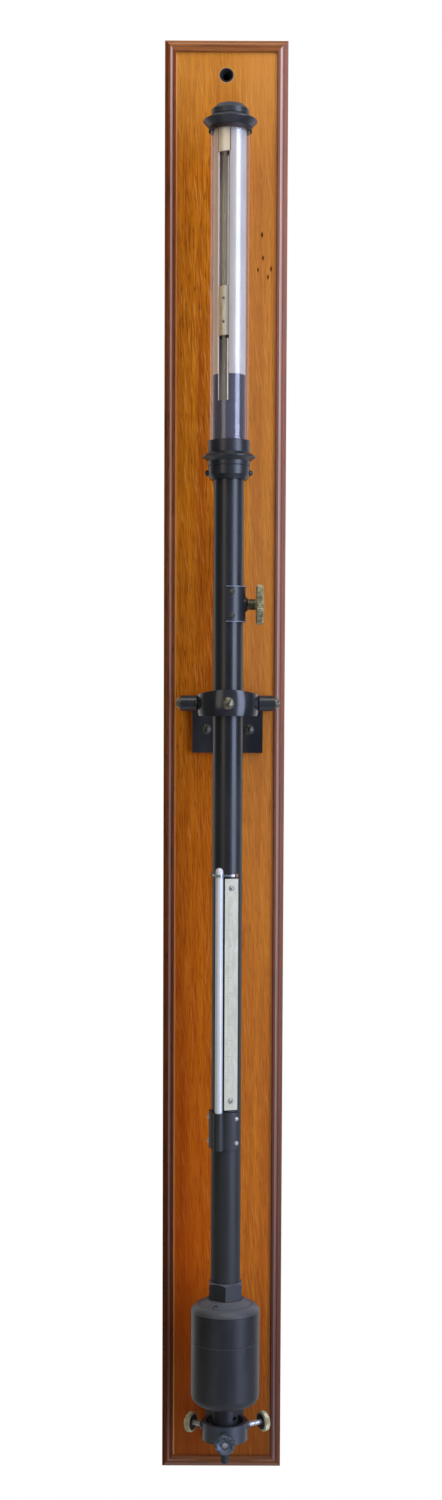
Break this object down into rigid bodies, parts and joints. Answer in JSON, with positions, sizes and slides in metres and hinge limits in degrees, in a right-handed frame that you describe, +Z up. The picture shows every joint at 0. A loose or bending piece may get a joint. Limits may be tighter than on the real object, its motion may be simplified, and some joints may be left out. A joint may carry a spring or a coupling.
{
  "type": "stick barometer",
  "caption": "Brass-cased mercury stick barometer with a closed cistern, rack-set vernier and attached thermometer, hung in a gimbal on an oak board with a centring ring.",
  "frame": {"origin": "centre of the hanging hole on the wall plane, at the back of the board", "axes": "+Z up along the board, +Y into the wall, the front faces -Y, +X to the right seen from the front"},
  "size_m": [0.094, 0.1008, 1.1102],
  "materials": {
    "oak": "varnished",
    "mahogany": "polished",
    "black_enamel": "gloss",
    "black_lacquer": "gloss",
    "cistern_iron": "black lacquered, gloss",
    "aged_steel": "aged",
    "steel": "polished",
    "brass": "aged, greenish",
    "silvered": "silvered",
    "vernier_ivory": "silvered, yellowed",
    "leather": "plain",
    "seal_leather": "plain",
    "cork": "plain cork",
    "glass": "clear",
    "milk_glass": "clear with a white back",
    "mercury": "mirror"
  },
  "bodies": {
    "board": {"backboard": "oak", "moulding_left": "mahogany", "moulding_right": "mahogany", "moulding_top": "mahogany", "moulding_bottom": "mahogany", "hanging_bush": "black_enamel", "gimbal_bracket": "black_lacquer", "bracket_screws": "aged_steel", "trunnion_screws": "brass", "centring_bracket": "black_lacquer", "centring_bracket_screws": "aged_steel"},
    "gimbal": {"gimbal_ring": "black_lacquer", "ring_pivot_screws": "brass"},
    "vernier": {"vernier_slide": "brass", "vernier_plate": "vernier_ivory", "vernier_screws": "brass", "rack": "brass", "rack_screw": "brass"},
    "knob": {"pinion": "steel", "milled_knob": "brass"},
    "left_shank": {"left_screw": "steel"},
    "left_turner": {"left_head": "brass"},
    "right_shank": {"right_screw": "steel"},
    "right_turner": {"right_head": "brass"},
    "front_shank": {"front_screw": "steel"},
    "front_turner": {"front_head": "brass"},
    "instrument": {"suspension_collar": "black_lacquer", "main_tube": "black_lacquer", "tube_socket": "black_lacquer", "socket_screws": "black_lacquer", "shade_cup": "black_lacquer", "shade_washer": "leather", "scale_tube": "silvered", "glass_shade": "glass", "shade_seal": "seal_leather", "cap_ring": "black_lacquer", "top_cap": "black_lacquer", "top_cork": "cork", "barometer_tube": "glass", "mercury_column": "mercury", "guide_corks": "cork", "pinion_housing": "black_lacquer", "housing_screws": "aged_steel", "thermometer": "milk_glass", "thermometer_mercury": "mercury", "thermometer_plate": "silvered", "plate_pads": "brass", "plate_screws": "steel", "stem_strap": "silvered", "strap_screws": "steel", "bulb_guard": "black_lacquer", "guard_screws": "steel", "hex_union": "black_lacquer", "gland_packing": "leather", "cistern_top": "cistern_iron", "vent_screw": "cistern_iron", "cistern_gasket": "leather", "cistern_body": "cistern_iron", "cistern_mercury": "mercury", "base_plug": "black_lacquer"}
  },
  "joints": [
    {"name": "gimbal_tilt", "type": "hinge", "parent": "board", "child": "gimbal", "pos_m": [0.0027, -0.065, -0.478], "axis": [1, 0, 0], "range_deg": [-0.2, 0.2]},
    {"name": "tube_tilt", "type": "hinge", "parent": "gimbal", "child": "instrument", "pos_m": [0.0027, -0.065, -0.478], "axis": [0, 1, 0], "range_deg": [-0.2, 0.2]},
    {"name": "knob_turn", "type": "hinge", "parent": "instrument", "child": "knob", "pos_m": [0.0027, -0.065, -0.404], "axis": [1, 0, 0], "range_deg": [-880.5, 1831.6]},
    {"name": "vernier_travel", "type": "slide", "parent": "instrument", "child": "vernier", "axis": [0, 0, 1], "range_m": [-0.0461, 0.0959]},
    {"name": "left_travel", "type": "slide", "parent": "board", "child": "left_shank", "axis": [-0.866, 0.5, 0], "range_m": [-0.00005, 0.0043]},
    {"name": "left_turn", "type": "hinge", "parent": "left_shank", "child": "left_turner", "pos_m": [0.0027, -0.065, -1.0365], "axis": [-0.866, 0.5, 0], "range_deg": [-24.1, 2064.1]},
    {"name": "right_travel", "type": "slide", "parent": "board", "child": "right_shank", "axis": [0.866, 0.5, 0], "range_m": [-0.00415, 0.0002]},
    {"name": "right_turn", "type": "hinge", "parent": "right_shank", "child": "right_turner", "pos_m": [0.0027, -0.065, -1.0365], "axis": [0.866, 0.5, 0], "range_deg": [-1992.1, 96.1]},
    {"name": "front_travel", "type": "slide", "parent": "board", "child": "front_shank", "axis": [0, -1, 0], "range_m": [-0.00305, 0.0013]},
    {"name": "front_turn", "type": "hinge", "parent": "front_shank", "child": "front_turner", "pos_m": [0.0027, -0.065, -1.0365], "axis": [0, -1, 0], "range_deg": [-1464.1, 624.1]}
  ],
  "couplings": [
    {"joint": "knob_turn", "follows": "vernier_travel", "rad_per_m": 333.33},
    {"joint": "left_turn", "follows": "left_travel", "rad_per_m": 8377.6},
    {"joint": "right_turn", "follows": "right_travel", "rad_per_m": 8377.6},
    {"joint": "front_turn", "follows": "front_travel", "rad_per_m": 8377.6}
  ]
}
